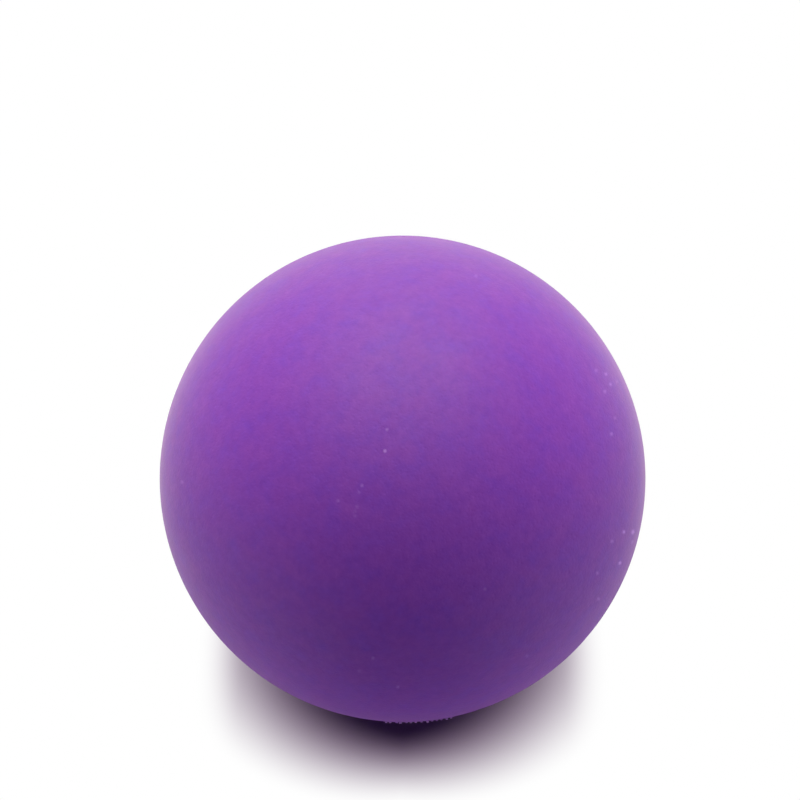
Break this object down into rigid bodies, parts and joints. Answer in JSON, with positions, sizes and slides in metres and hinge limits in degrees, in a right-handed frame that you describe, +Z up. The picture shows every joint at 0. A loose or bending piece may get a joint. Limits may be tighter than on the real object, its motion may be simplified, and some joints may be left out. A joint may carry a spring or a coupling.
{
  "type": "lacrosse ball",
  "caption": "Solid rubber ball with a smooth matte purple cover, a faint moulded parting line and a solid rubber core.",
  "frame": {"origin": "the ball's centre", "axes": "+Z up as the ball lies, with the parting line leaning down towards -Y, the front, and +X to the right seen from the front"},
  "size_m": [0.0636, 0.0634, 0.0634],
  "materials": {
    "cover_rubber": "matte",
    "core_rubber": "matte"
  },
  "bodies": {
    "root": {"core": "core_rubber", "upper_cover_half": "cover_rubber", "lower_cover_half": "cover_rubber"}
  },
  "joints": []
}
